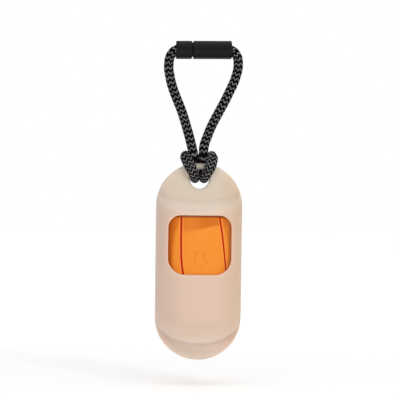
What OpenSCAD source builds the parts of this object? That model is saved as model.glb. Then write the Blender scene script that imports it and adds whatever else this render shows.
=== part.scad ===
// Poop bag dispenser: a soft moulded carrier that holds one roll of bags behind a
// window, hung from a braided cord loop that closes with a pull-apart barrel clasp.
// Origin: the middle of the leash, where the clasp rests on it. +Z up, the window faces -Y.

/* [Carrier] */
// Width of the carrier across its straight sides
carrier_w = 42.5; // [41:0.5:48]
// Height of the carrier from the top of the tab to the bottom edge
carrier_h = 97.2; // [92:0.5:110]
// Thickness of the flat tab and of the margin round the pod
tab_t = 4; // [3:0.1:4.4]
// Depth of the pod over the roll, front to back
pod_d = 38; // [34:0.5:40]
// Wall in front of and behind the roll
pod_wall = 2; // [1.5:0.1:3]
// Drop from the top of the tab to the foot of the pod's shoulder
pod_drop = 18.8; // [17:0.1:20]
// How far the shoulder's foot rises at the sides, as a broad U
shoulder_rise = 5; // [0:0.5:8]
// Height over which the shoulder swells to full depth
shoulder_h = 6.3; // [5:0.1:7]
// Share of the shoulder's height that is faired into the tab
shoulder_fair = 0.6; // [0.2:0.05:0.8]
// Flat margin below the pod, at the middle
toe_margin = 7.6; // [6:0.1:9]
// Height over which the lower end of the pod swells to full depth
toe_h = 8.6; // [6:0.1:12]
// Radius of the rounded outer edge
edge_r = 2; // [1:0.1:3]

/* [Cord hole] */
// Diameter of the hole in the tab
hole_d = 9.5; // [9.5:0.1:11]
// Drop from the top of the tab to the middle of the hole
hole_drop = 8; // [7.8:0.1:8.4]
// Radius of the hole's rounded lips
lip_r = 1; // [0.4:0.1:1.4]

/* [Window] */
// Width of the window
window_w = 31; // [24:0.5:32]
// Height of the window
window_h = 28.9; // [24:0.1:40]
// Drop from the top of the tab to the window's upper edge
window_drop = 25.9; // [25.5:0.1:30]
// Radius of the window's upper corners
window_top_r = 6; // [3:0.5:10]
// Radius of the window's lower corners
window_low_r = 8; // [3:0.5:10]

/* [Bag roll] */
// Radial room between the loosest film and the carrier
roll_play = 0.4; // [0.3:0.05:1]
// Room above and below the roll
roll_end_play = 0.4; // [0.3:0.05:1]
// Height left above the roll, below the foot of the shoulder
crown_t = 6.8; // [6.4:0.1:8]
// Wall left below the roll, above the lower edge of the pod
sole_t = 5.7; // [5:0.1:7]
// Radius in the corners of the roll's bay
bay_r = 1.2; // [0.8:0.1:2.5]
// Outside diameter of the cardboard core
core_d = 16; // [12:0.5:20]
// Wall of the cardboard core
core_wall = 0.8; // [0.5:0.1:1.5]
// Thickness of the outermost bag, loose round the pack
lead_t = 0.5; // [0.4:0.1:0.8]
// Extra thickness of its folded front panel
flap_t = 0.4; // [0.2:0.1:0.8]
// Angle from the front to the panel's left fold
left_fold = 32; // [20:1:60]
// Angle from the front to the panel's right fold
right_fold = 41; // [20:1:60]
// Gap between the wound pack and its neighbours
film_gap = 0.05; // [0.02:0.01:0.2]
// Turns that stand proud at the ends of the pack
pack_turns = 5; // [3:1:8]
// Height by which those turns stand proud
turn_h = 0.3; // [0.1:0.1:0.6]

/* [Clasp] */
// Diameter of both barrels
clasp_d = 8.8; // [8.4:0.1:10]
// Distance from the carrier's middle plane to the clasp's left end
clasp_left = 12.15; // [11:0.05:13]
// Length of the plug's barrel
plug_len = 7.75; // [6:0.05:9]
// Length of the socket's barrel
socket_len = 18.85; // [16:0.05:20]
// Width of the groove between the barrels
groove_w = 0.7; // [0.4:0.1:1.2]
// Radius of the barrels' outer edges
barrel_edge = 0.5; // [0.2:0.1:0.8]
// Radius of the plug's tongue
tongue_r = 3.58; // [3.4:0.01:3.7]
// Length of the tongue inside the socket
tongue_len = 6; // [4:0.1:7]
// Running clearance round the tongue
tongue_fit = 0.07; // [0.04:0.01:0.1]
// Height of the snap bead on the tongue
bead_h = 0.05; // [0.02:0.01:0.05]
// Width of the snap bead
bead_w = 0.6; // [0.4:0.1:1]
// Distance from the tongue's nose back to the bead
bead_set = 1.4; // [1:0.1:2.5]
// Room round the bead in the socket's groove
bead_room = 0.2; // [0.1:0.05:0.4]
// Room past the tongue's nose
nose_room = 0.6; // [0.3:0.1:1.2]
// Width of the slots that part the tongue into fingers
slot_w = 0.8; // [0.5:0.1:1.2]
// Solid root left between the barrel and the slots
slot_root = 1.5; // [0.5:0.1:3]
// Thickness of the collar that holds each cord end
collar_t = 2.2; // [1.5:0.1:3]
// Radius of the pocket behind each collar
pocket_r = 2.75; // [2.6:0.05:2.9]
// Radial clearance of the cord in the collars
cord_fit = 0.15; // [0.1:0.05:0.3]
// Radius of the collars' belled mouths
bell_r = 1.4; // [0.8:0.1:1.7]
// Radius of the ball that dishes the gate mark into the socket
gate_r = 1.4; // [1:0.1:2]
// Depth of the gate mark
gate_t = 0.2; // [0.1:0.05:0.3]
// Distance of the gate mark from the socket's left end
gate_run = 6.3; // [4:0.1:9]
// Turn of the gate mark below the front
gate_turn = 15; // [0:5:30]

/* [Cord] */
// Diameter of the braided cord
cord_d = 4.5; // [4:0.1:4.5]
// Drop from the leash to the top of the tab
loop_drop = 51.5; // [51.4:0.1:51.8]
// Length of the sealed button on each cord end
button_len = 2; // [1:0.1:3]

/* [Hidden] */
$fn = 96;
eps = 0.01;

// heights of the carrier
top_z = -loop_drop;
low_z = top_z - carrier_h;
arc_r = carrier_w / 2;
upper_z = top_z - arc_r;
lower_z = low_z + arc_r;
tab_half = tab_t / 2;
pod_half = pod_d / 2;
shoulder_z = top_z - pod_drop;
toe_arc = arc_r - toe_margin;

// the roll's bay
bay_d = pod_d - 2 * pod_wall;
bay_top = shoulder_z - crown_t;
bay_low = low_z + toe_margin + sole_t;
bay_h = bay_top - bay_low;

// the roll, from the outside in
roll_low = bay_low + roll_end_play;
roll_h = bay_h - 2 * roll_end_play;
lead_low = bay_low + bay_r;
lead_h = bay_h - 2 * bay_r;
panel_r = bay_d / 2 - roll_play;
lead_r = panel_r - flap_t;
pack_r = lead_r - lead_t - film_gap;
core_r = core_d / 2;

// the clasp, along X
clasp_r = clasp_d / 2;
clasp_z = clasp_r;
parting_x = plug_len - clasp_left;
socket_x = parting_x + groove_w;
clasp_right = socket_x + socket_len;
collar_r = cord_d / 2 + cord_fit;
button_r = pocket_r - 0.1;
recess_r = tongue_r + tongue_fit;
nose_x = socket_x + tongue_len;
bead_x = nose_x - bead_set;

// steps round each end arc, drops down the straight sides, and ring insets as shares of arc_r
arc_steps = 26;
side_drops = [0.8, 1.6, 2.4, 3.6, 9, 24, 39];
ring_shares = [0, 0.012, 0.042, 0.093, 0.16, 0.24, 0.32, 0.41, 0.5, 0.59, 0.69, 0.79, 0.89, 0.986];

// middle line of the cord, from the socket's collar round the tab to the plug's collar
cord_route = [
    [12.95, 0, 4.4],
    [14, 0, 4.4],
    [15.4, 0, 4.05],
    [17.7, 0, 1.5],
    [18.4, 0, -3.6],
    [17.2, 0, -9.2],
    [13.4, 0, -18],
    [4.1, -0.6, -37],
    [1.9, -1.8, -43.8],
    [1.7, -1.4, -48.1],
    [1.8, 2.2, -49.2],
    [2.2, 4.9, -52.2],
    [2.3, 4.9, -56.2],
    [2.3, 2, -58.8],
    [2.3, -2.3, -58.7],
    [3.4, -5.2, -56.6],
    [5.3, -6.1, -52.8],
    [6.4, -4.5, -49.4],
    [6.4, -0.6, -48],
    [5.4, 5.4, -48.4],
    [0, 7.9, -49.4],
    [-5.8, 5.4, -48.4],
    [-7.2, -0.6, -48],
    [-7.1, -4.5, -49.2],
    [-5.4, -6.1, -52.6],
    [-3.3, -5.2, -56.4],
    [-2.3, -2.3, -58.7],
    [-2.3, 2, -58.8],
    [-2.4, 4.9, -56.2],
    [-2.7, 4.9, -52.2],
    [-3, 2.2, -49.2],
    [-3.1, -1.4, -48.1],
    [-4.1, -1.8, -43.6],
    [-8.2, 0, -29],
    [-15.2, 0, -9.2],
    [-15.9, 0, -3.6],
    [-14.9, 0, 1.4],
    [-12.4, 0, 4.05],
    [-11, 0, 4.4],
    [-9.95, 0, 4.4]
];
cord_sides = 10;

// a point moved along the outline's own normal, inset from the edge
function arcPoint(angle, inset, centre_z) =
    [(arc_r - inset) * cos(angle), centre_z + (arc_r - inset) * sin(angle)];

// the outline as one closed ring, inset from the edge, starting at the upper right
function outline(inset) = concat(
    [for (i = [0 : arc_steps]) arcPoint(180 * i / arc_steps, inset, upper_z)],
    [for (d = side_drops) [inset - arc_r, upper_z - d]],
    [for (i = [0 : arc_steps]) arcPoint(180 + 180 * i / arc_steps, inset, lower_z)],
    [for (i = [len(side_drops) - 1 : -1 : 0]) [arc_r - inset, upper_z - side_drops[i]]]
);

// quarter of an ellipse: 0 at u = 0, 1 from u = 1 on
function swell(u) = sqrt(1 - pow(1 - max(0, min(1, u)), 2));

// the same between 0 and 1, flat at both ends
function ease(u) = let(v = max(0, min(1, u))) v * v * (3 - 2 * v);

// how round the pod is across, down to nothing at the outline; z above the upper arc's centre
function crossSwell(x, z = 0) = sqrt(max(0, 1 - (x * x + pow(max(0, z), 2)) / pow(arc_r, 2)));

function shoulderSwell(x, z) =
    let(u = (shoulder_z + shoulder_rise * pow(x / pod_half, 4) - z) / shoulder_h)
    swell(u) * ease(u / shoulder_fair);

function toeSwell(x, z) = swell((z - lower_z + toe_arc * crossSwell(x)) / toe_h);

// half the depth of the carrier at a point of the outline ring
function halfDepth(p, inset) =
    tab_half * swell(inset / edge_r)
    + (pod_half - tab_half) * crossSwell(p.x, p.y - upper_z)
        * shoulderSwell(p.x, p.y) * toeSwell(p.x, p.y);

// the outer skin: rings that run inwards over the front and the back, closed by a strip
module carrierSkin() {
    insets = ring_shares * arc_r;
    n = len(outline(0));
    rings = len(insets);
    crest = arc_steps / 2;
    toe = crest + n / 2;
    points = [for (side = [-1, 1]) for (s = insets) for (p = outline(s))
        [p.x, side * halfDepth(p, s), p.y]];
    function id(side, k, j) = (k == 0 ? 0 : side * rings * n) + k * n + j % n;
    function rim(side, j) = id(side, rings - 1, j);
    function across(j) = (arc_steps - j + n) % n;
    function facing(side, f) = side == 0 ? f : [f[0], f[2], f[1]];
    function leftward(j) = j >= crest && j < toe;
    function cell(a, b, c, d, flip) = flip ? [[a, c, b], [b, c, d]] : [[a, c, d], [a, d, b]];
    walls = [for (side = [0, 1]) for (k = [0 : rings - 2]) for (j = [0 : n - 1])
        for (f = cell(id(side, k, j), id(side, k, j + 1), id(side, k + 1, j),
            id(side, k + 1, j + 1), leftward(j))) facing(side, f)];
    uppers = [for (side = [0, 1]) for (j = [crest + 1 : toe - 1])
        facing(side, [rim(side, j), rim(side, across(j)), rim(side, across(j + 1))])];
    lowers = [for (side = [0, 1]) for (j = [crest : toe - 2])
        facing(side, [rim(side, j), rim(side, across(j + 1)), rim(side, j + 1)])];
    polyhedron(points = points, faces = concat(walls, uppers, lowers));
}

// the bay's or the roll's half section: a rectangle beside the axis, corners rounded
module roundedHalf(r, h, corner) {
    square([r - corner, h]);
    translate([0, corner]) square([r, h - 2 * corner]);
    for (z = [corner, h - corner]) translate([r - corner, z]) circle(r = corner);
}

// the window's outline, hanging from its upper edge
module windowShape() {
    side_x = window_w / 2;
    top_x = side_x - window_top_r;
    low_x = side_x - window_low_r;
    translate([-top_x, -window_top_r]) square([2 * top_x, window_top_r]);
    translate([-low_x, -window_h]) square([2 * low_x, window_low_r]);
    translate([-side_x, window_low_r - window_h])
        square([window_w, window_h - window_low_r - window_top_r]);
    for (s = [-1, 1]) {
        translate([s * top_x, -window_top_r]) circle(r = window_top_r);
        translate([s * low_x, window_low_r - window_h]) circle(r = window_low_r);
    }
}

// the hole with a rounded lip on both faces of the tab
module cordHole() {
    hole_r = hole_d / 2;
    rotate([90, 0, 0]) {
        cylinder(r = hole_r, h = 2 * tab_t, center = true);
        for (s = [0, 1]) mirror([0, 0, s]) rotate_extrude() difference() {
            translate([hole_r - eps, tab_half - lip_r]) square([lip_r + eps, lip_r + eps]);
            translate([hole_r + lip_r, tab_half - lip_r]) circle(r = lip_r);
        }
    }
}

// one-piece silicone moulding: tab, hollow pod, window and cord hole
module carrier_shell() {
    color([0.87, 0.79, 0.71]) difference() {
        carrierSkin();
        translate([0, 0, bay_low]) rotate_extrude() intersection() {
            roundedHalf(bay_d / 2, bay_h, bay_r);
            square([pod_d, bay_h]);
        }
        translate([0, -bay_d / 4, top_z - window_drop]) rotate([90, 0, 0])
            linear_extrude(pod_d) windowShape();
        translate([0, 0, top_z - hole_drop]) cordHole();
    }
}

// cardboard tube that the bags are wound on
module roll_core() {
    color([0.72, 0.6, 0.45]) translate([0, 0, roll_low]) difference() {
        cylinder(r = core_r, h = roll_h);
        translate([0, 0, -eps]) cylinder(r = core_r - core_wall, h = roll_h + 2 * eps);
    }
}

// wound pack of folded bags; a few turns stand proud at each end
module bag_roll() {
    inner = core_r + film_gap;
    pitch = (pack_r - inner) / (2 * pack_turns + 1);
    depth = roll_h - 2 * turn_h;
    steps = [for (i = [0 : 2 * pack_turns]) for (e = [0, 1])
        [inner + (i + e) * pitch, i % 2 == 0 ? 0 : turn_h]];
    section = concat(
        [for (p = steps) [p.x, -p.y]],
        [for (i = [len(steps) - 1 : -1 : 0]) [steps[i].x, depth + steps[i].y]]
    );
    color([0.95, 0.52, 0.2]) translate([0, 0, roll_low + turn_h])
        rotate_extrude() polygon(section);
}

// outermost bag, wrapped loosely round the pack with its front panel folded over
module lead_bag() {
    fold_step = 3;
    turns = concat(
        [for (a = [-180 : fold_step : -left_fold - 1]) [a, lead_r]],
        [[-left_fold, lead_r], [-left_fold, panel_r]],
        [for (a = [-left_fold + fold_step : fold_step : right_fold - 1]) [a, panel_r]],
        [[right_fold, panel_r], [right_fold, lead_r]],
        [for (a = [right_fold + fold_step : fold_step : 179]) [a, lead_r]]
    );
    color([1, 0.57, 0.23]) translate([0, 0, lead_low]) difference() {
        linear_extrude(lead_h) polygon([for (t = turns) t[1] * [sin(t[0]), -cos(t[0])]]);
        translate([0, 0, -eps]) cylinder(r = lead_r - lead_t, h = lead_h + 2 * eps);
    }
}

// unit vector, and the part of a vector that lies square to a direction
function unit(v) = v / norm(v);
function squareTo(v, along) = unit(v - (v * along) * along);

// slope of the cord at one of its points, weighed by the lengths on either side
function slopeAt(p, i) =
    i == 0 ? unit(p[1] - p[0])
    : i == len(p) - 1 ? unit(p[i] - p[i - 1])
    : let (a = norm(p[i] - p[i - 1]), b = norm(p[i + 1] - p[i]))
        ((p[i + 1] - p[i]) * a / b + (p[i] - p[i - 1]) * b / a) / (a + b);

// half-way point between two route points on the smooth curve through them
function midPoint(p, i) =
    (p[i] + p[i + 1]) / 2 + (slopeAt(p, i) - slopeAt(p, i + 1)) * norm(p[i + 1] - p[i]) / 8;

// tube swept along points, its rings carried without twist
module sweptTube(p, radius, sides) {
    n = len(p);
    along = [for (i = [0 : n - 1]) slopeAt(p, i) / norm(slopeAt(p, i))];
    across = [for (i = 0, v = squareTo([0, 1, 0], along[0]); i < n;
        v = squareTo(v, along[min(i + 1, n - 1)]), i = i + 1) v];
    rings = [for (i = [0 : n - 1]) for (k = [0 : sides - 1]) let (a = 360 * k / sides)
        p[i] + radius * (cos(a) * across[i] + sin(a) * cross(along[i], across[i]))];
    walls = [for (i = [0 : n - 2]) for (k = [0 : sides - 1])
        let (a = i * sides + k, b = i * sides + (k + 1) % sides)
        [[a, a + sides, b], [b, a + sides, b + sides]]];
    polyhedron(
        points = rings,
        faces = concat(
            [for (w = walls) w[0]],
            [for (w = walls) w[1]],
            [[for (k = [0 : sides - 1]) k]],
            [[for (k = [sides - 1 : -1 : 0]) (n - 1) * sides + k]]
        )
    );
}

// braided loop, hitched round the rim of the tab
module cord() {
    last = len(cord_route) - 1;
    middle = [for (i = [0 : last]) for (half = [0, 1])
        if (half == 0 || (i > 0 && i < last - 1))
            half == 0 ? cord_route[i] : midPoint(cord_route, i)];
    color([0.13, 0.13, 0.13]) sweptTube(middle, cord_d / 2, cord_sides);
}

// corner of a barrel's section, rounded as a quarter circle, going round from one angle
function barrelCorner(x, r, start) = [for (i = [0 : 4])
    [r - barrel_edge + barrel_edge * cos(start + 22.5 * i),
        x + barrel_edge * sin(start + 22.5 * i)]];

// plain barrel along X with rounded edges
module barrel(from, to) {
    rotate([90, 0, 90]) rotate_extrude() polygon(concat(
        [[0, from]],
        barrelCorner(from + barrel_edge, clasp_r, -90),
        barrelCorner(to - barrel_edge, clasp_r, 0),
        [[0, to]]
    ));
}

// hole through a collar, belled where the cord leaves; dir is +1 when that is towards +X
module collarHole(mouth, dir) {
    steps = 6;
    flare = [for (i = [0 : steps]) let (a = 90 * i / steps)
        [collar_r + bell_r * (1 - cos(a)), -bell_r * (1 - sin(a))]];
    translate([mouth, 0, 0]) rotate([0, 90 * dir, 0]) rotate_extrude() polygon(concat(
        [[0, -collar_t - eps], [collar_r, -collar_t - eps]],
        flare,
        [[collar_r + bell_r, eps], [0, eps]]
    ));
}

// round bar or bore along X
module rod(from, to, r) {
    translate([from, 0, 0]) rotate([0, 90, 0]) cylinder(r = r, h = to - from);
}

// long half of the clasp: takes the plug's tongue, and holds the right end of the cord
module clasp_socket() {
    color([0.12, 0.12, 0.12]) translate([0, 0, clasp_z]) difference() {
        barrel(socket_x, clasp_right);
        rod(socket_x - eps, nose_x + nose_room, recess_r);
        rod(bead_x - bead_room, bead_x + bead_w + bead_room, recess_r + bead_room);
        rod(nose_x, clasp_right - collar_t, pocket_r);
        collarHole(clasp_right, 1);
        rotate([gate_turn, 0, 0]) translate([socket_x + gate_run, gate_t - clasp_r - gate_r, 0])
            sphere(r = gate_r);
    }
}

// short half of the clasp: barrel, neck and slotted tongue; holds the left end of the cord
module clasp_plug() {
    color([0.12, 0.12, 0.12]) translate([0, 0, clasp_z]) difference() {
        union() {
            barrel(-clasp_left, parting_x);
            rod(parting_x - eps, nose_x, tongue_r);
            rod(bead_x, bead_x + bead_w, tongue_r + bead_h);
        }
        rod(collar_t - clasp_left, nose_x + eps, pocket_r);
        collarHole(-clasp_left, -1);
        for (turn = [0, 90]) rotate([turn, 0, 0])
            translate([parting_x + slot_root, -clasp_r, -slot_w / 2])
                cube([tongue_len + groove_w, clasp_d, slot_w]);
    }
}

// sealed button on the cord's right end, against the socket's collar
module socket_cord_end() {
    color([0.08, 0.08, 0.08]) translate([0, 0, clasp_z])
        rod(clasp_right - collar_t - button_len, clasp_right - collar_t, button_r);
}

// sealed button on the cord's left end, against the plug's collar
module plug_cord_end() {
    color([0.08, 0.08, 0.08]) translate([0, 0, clasp_z])
        rod(collar_t - clasp_left, collar_t - clasp_left + button_len, button_r);
}

carrier_shell();
roll_core();
bag_roll();
lead_bag();
cord();
clasp_socket();
clasp_plug();
socket_cord_end();
plug_cord_end();
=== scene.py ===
# Poop bag dispenser: soft carrier, orange bag roll, braided cord loop and barrel clasp.
# Metres, +Z up, the window faces -Y. All places are in the CAD's frame.
import math
from functools import partial
import bmesh
import bpy
import numpy as np
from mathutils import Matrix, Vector, noise
from mathutils.geometry import delaunay_2d_cdt


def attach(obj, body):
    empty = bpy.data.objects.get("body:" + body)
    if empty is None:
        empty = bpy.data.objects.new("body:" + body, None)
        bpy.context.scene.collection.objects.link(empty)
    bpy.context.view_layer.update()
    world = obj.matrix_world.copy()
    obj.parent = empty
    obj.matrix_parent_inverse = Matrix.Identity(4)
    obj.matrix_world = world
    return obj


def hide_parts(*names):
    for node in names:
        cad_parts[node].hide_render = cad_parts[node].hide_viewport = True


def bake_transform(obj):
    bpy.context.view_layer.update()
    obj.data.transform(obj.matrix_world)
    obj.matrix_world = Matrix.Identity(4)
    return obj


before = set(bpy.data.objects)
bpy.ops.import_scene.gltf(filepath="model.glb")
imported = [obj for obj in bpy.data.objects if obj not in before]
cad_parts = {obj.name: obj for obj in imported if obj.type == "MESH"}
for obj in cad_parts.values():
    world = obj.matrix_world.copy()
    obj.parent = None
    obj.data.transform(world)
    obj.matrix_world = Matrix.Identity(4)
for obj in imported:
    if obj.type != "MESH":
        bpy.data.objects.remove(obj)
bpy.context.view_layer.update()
mm = 0.001
print("frame loaded")


def putNode(tree, kind, links=None, **settings):
    # links go by input name or number, to a plain value or another node's output
    made = tree.nodes.new(kind)
    for name, value in settings.items():
        setattr(made, name, value)
    for name, value in (links or {}).items():
        if isinstance(value, bpy.types.NodeSocket):
            tree.links.new(value, made.inputs[name])
        else:
            made.inputs[name].default_value = value
    return made


def linear(red, green, blue):
    # a screen colour, 0 to 255, as the linear colour that a shader takes
    return tuple((c / 255 / 12.92) if c <= 10 else ((c / 255 + 0.055) / 1.055) ** 2.4
                 for c in (red, green, blue)) + (1.0,)


def nodeOut(tree, kind, links=None, **settings):
    return putNode(tree, kind, links, **settings).outputs[0]


def newMaterial(name, links):
    # a material, its tree and shader, and the object coordinates
    material = bpy.data.materials.new(name)
    material.use_nodes = True
    tree = material.node_tree
    shader = tree.nodes["Principled BSDF"]
    for socket, value in links.items():
        shader.inputs[socket].default_value = value
    return material, tree, shader, putNode(tree, "ShaderNodeTexCoord").outputs["Object"]


def mathNode(tree, operation, first, second=0.0):
    return nodeOut(tree, "ShaderNodeMath", {0: first, 1: second}, operation=operation)


def mixColour(tree, amount, low, high):
    return putNode(tree, "ShaderNodeMix", {0: amount, 6: low, 7: high}, data_type="RGBA").outputs[2]


def tint(tree, tone, amount, share, shade):
    return mixColour(tree, mathNode(tree, "MULTIPLY", amount, share), tone, shade)


def markNode(tree, name):
    return putNode(tree, "ShaderNodeAttribute", attribute_name=name).outputs["Fac"]


def axesOf(tree, vector):
    return putNode(tree, "ShaderNodeSeparateXYZ", {0: vector}).outputs


def rampNode(tree, amount, start, end):
    return nodeOut(tree, "ShaderNodeMapRange", {0: amount, 1: start, 2: end},
                   interpolation_type="SMOOTHSTEP")


def noiseNode(tree, where, scale, detail=3.0, rough=0.5):
    return nodeOut(tree, "ShaderNodeTexNoise",
                   {"Vector": where, "Scale": scale, "Detail": detail, "Roughness": rough})


def roughenBy(tree, shader, amount, low, high):
    rough = nodeOut(tree, "ShaderNodeMapRange", {0: amount, 3: low, 4: high})
    tree.links.new(rough, shader.inputs["Roughness"])


def colourBy(tree, shader, tone):
    tree.links.new(tone, shader.inputs["Base Color"])


def bumpOnto(tree, shader, height, distance, strength):
    bump = nodeOut(tree, "ShaderNodeBump", {"Height": height, "Distance": distance, "Strength": strength})
    tree.links.new(bump, shader.inputs["Normal"])


def ringFaces(rows, count, closed=False):
    # quads between neighbouring rings of a grid; closed joins the last ring to the first
    steps = [(i * count, (i + 1) % rows * count) for i in range(rows if closed else rows - 1)]
    return [(a + k, a + (k + 1) % count, b + (k + 1) % count, b + k)
            for a, b in steps for k in range(count)]


def faceOutward(mesh, weld=0.0):
    # turns every face outward, welds points closer than weld and counts the edges left open
    work = bmesh.new()
    work.from_mesh(mesh)
    if weld:
        bmesh.ops.remove_doubles(work, verts=work.verts, dist=weld)
    bmesh.ops.recalc_face_normals(work, faces=work.faces)
    openEdges = sum(1 for e in work.edges if not e.is_manifold)
    work.to_mesh(mesh)
    work.free()
    return openEdges


def readAll(items, field, width, kind=float):
    values = np.empty(len(items) * width, dtype=kind)
    items.foreach_get(field, values)
    return values.reshape(-1, width)


def storeMarks(mesh, marks, domain="POINT"):
    # numbers or vectors kept on the points or faces, for the node trees to read
    for name, values in marks.items():
        kind, field = ("FLOAT_VECTOR", "vector") if values.shape[-1] == 3 else ("FLOAT", "value")
        made = mesh.attributes.new(name, kind, domain)
        made.data.foreach_set(field, values.astype(np.float32).ravel())


def addObject(name, data):
    made = bpy.data.objects.new(name, data)
    bpy.context.scene.collection.objects.link(made)
    return made


def solvedMesh(piece):
    # the mesh as the piece's modifiers leave it
    return bpy.data.meshes.new_from_object(piece.evaluated_get(bpy.context.evaluated_depsgraph_get()))


def newPiece(name, vertices, faces, material, smooth=True):
    mesh = bpy.data.meshes.new(name)
    mesh.from_pydata([tuple(v) for v in vertices], [], [tuple(int(i) for i in f) for f in faces])
    if material:
        mesh.materials.append(material)
    if smooth:
        mesh.shade_smooth()
    return addObject(name, mesh)


# camera

cameraSettings = {
    "distance": 1.2,  # from the object's middle plane
    "turn": -2.8,  # degrees round the object, to its left
    "roll": 0.75,  # degrees
    "aim": (0.0004, 0.0, -0.0698),
    "frameWidth": 0.1976,  # seen at the object's middle plane
}


def setCamera(c):
    data = bpy.data.cameras.new("camera")
    data.lens = data.sensor_width * c["distance"] / c["frameWidth"]
    camera = addObject("camera", data)
    turn = math.radians(c["turn"])
    back = Vector((math.sin(turn), -math.cos(turn), 0))
    camera.location = Vector(c["aim"]) + back * c["distance"]
    camera.rotation_euler = (-back).to_track_quat("-Z", "Y").to_euler()
    camera.rotation_euler.rotate_axis("Z", math.radians(c["roll"]))
    data.clip_start, data.clip_end = 0.05, 20
    bpy.context.scene.camera = camera


setCamera(cameraSettings)
bpy.context.scene.view_settings.view_transform = "Standard"
print("camera set")

# braided cord

cordSettings = {
    "diameter": 0.0045,
    "columns": 12,  # stitch columns round the cord, slanting left and right in turn
    "pitch": 0.00082,  # from one row of stitches to the next
    "greyEvery": 3,  # rows from one grey zigzag to the next
    "coreShare": 0.99,  # radius of the tube under the stitches, as a share
    "slant": 56.0,  # degrees from straight across
    "stitchLength": 2.1,  # as a share of a column's width
    "stitchWidth": 0.72,  # as a share of the pitch
    "stitchRise": 0.45,
    "uneven": 0.1,  # radians that a stitch leans more or less
    "greyShades": (0.62, 1.0), "blackShades": (0.0, 0.04), "shadeSeed": 7, "stitchSeed": 3,
    "perSegment": 24, "blur": 9,  # samples to a route point, and in the smoothing
    "sideways": 0.35,  # below this the cord runs along the tab's normal
}
# middle line of the cord in millimetres, from the socket round the tab to the plug
cordRoute = [
    (12.95, 0, 4.4), (14, 0, 4.4), (15.4, 0, 4.05), (17.7, 0, 1.5), (18.4, 0, -3.6),
    (17.2, 0, -9.2), (13.4, 0, -18), (4.1, -0.6, -37), (1.9, -1.8, -43.8), (1.7, -1.4, -48.1),
    (1.8, 2.2, -49.2), (2.2, 4.9, -52.2), (2.3, 4.9, -56.2), (2.3, 2, -58.8), (2.3, -2.3, -58.7),
    (3.4, -5.2, -56.6), (5.1, -6.1, -52.8), (6.0, -4.5, -49.4), (6.1, -0.6, -48),
    (5.4, 5.4, -48.4), (0, 7.9, -49.4), (-5.8, 5.4, -48.4), (-7.2, -0.6, -48),
    (-7.0, -4.5, -49.2), (-5.3, -6.1, -52.6), (-3.3, -5.2, -56.4), (-2.3, -2.3, -58.7),
    (-2.3, 2, -58.8), (-2.4, 4.9, -56.2), (-2.7, 4.9, -52.2), (-3, 2.2, -49.2),
    (-3.1, -1.4, -48.1), (-4.1, -1.8, -43.6), (-8.2, 0, -29), (-15.2, 0, -9.2), (-15.9, 0, -3.6),
    (-14.9, 0, 1.4), (-12.4, 0, 4.05), (-11, 0, 4.4), (-9.95, 0, 4.4),
]
# how wide and thick the soft cord is pressed where it wraps the tab: route point, width, thickness
cordPressed = [(14, 1.0, 1.0), (15, 1.1, 0.88), (16, 1.28, 0.76), (17, 1.2, 0.82), (18, 1.08, 0.95),
               (19, 1.0, 1.0)]
# how close the rows of stitches are in the knot: route point, share of the pitch
cordBunched = [(9, 1.0), (10.5, 0.9), (14, 0.76), (16, 0.72), (18, 0.8), (20, 1.0)]


def curveThrough(points, perSegment):
    # smooth curve through the points, each slope weighed by the lengths on either side
    p = np.array(points, float)
    gap = np.linalg.norm(np.diff(p, axis=0), axis=1)
    slope = np.empty_like(p)
    slope[0], slope[-1] = (p[1] - p[0]) / gap[0], (p[-1] - p[-2]) / gap[-1]
    for i in range(1, len(p) - 1):
        a, b = gap[i - 1], gap[i]
        slope[i] = ((p[i + 1] - p[i]) * a / b + (p[i] - p[i - 1]) * b / a) / (a + b)
    out, at = [], []
    for i in range(len(p) - 1):
        for t in np.arange(perSegment) / perSegment:
            h = (2 * t**3 - 3 * t**2 + 1, t**3 - 2 * t**2 + t, -2 * t**3 + 3 * t**2, t**3 - t**2)
            out.append(h[0] * p[i] + h[1] * gap[i] * slope[i]
                       + h[2] * p[i + 1] + h[3] * gap[i] * slope[i + 1])
            at.append(i + t)
    return np.array(out + [p[-1]]), np.array(at + [len(p) - 1.0])


def mirrored(marks):
    # both lists run to the knot's middle, route point 20, and back
    return zip(*marks, *[(40 - m[0],) + m[1:] for m in marks[::-1] if m[0] < 20])


def rowSamples(points, at, pitch):
    # points a row of stitches apart, closer where the braid is bunched up
    step = np.linalg.norm(np.diff(points, axis=0), axis=1)
    bunched = np.interp((at[1:] + at[:-1]) / 2, *mirrored(cordBunched))
    along = np.concatenate([[0], np.cumsum(step / bunched)])
    rows = int(round(along[-1] / pitch))
    want = np.linspace(0, along[-1], rows + 1)
    even = np.stack([np.interp(want, along, points[:, k]) for k in range(3)], axis=1)
    return even, np.interp(want, along, at), rows, step.sum()


def carriedFrames(points):
    # tangent and two cross directions at each sample, carried along without twist
    along = np.gradient(points, axis=0)
    along /= np.linalg.norm(along, axis=1)[:, None]
    across = np.empty_like(points)
    side = np.array([0.0, 1.0, 0.0])
    for i, t in enumerate(along):
        side = side - side.dot(t) * t
        side /= np.linalg.norm(side)
        across[i] = side
    return along, across, np.cross(along, across)


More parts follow.
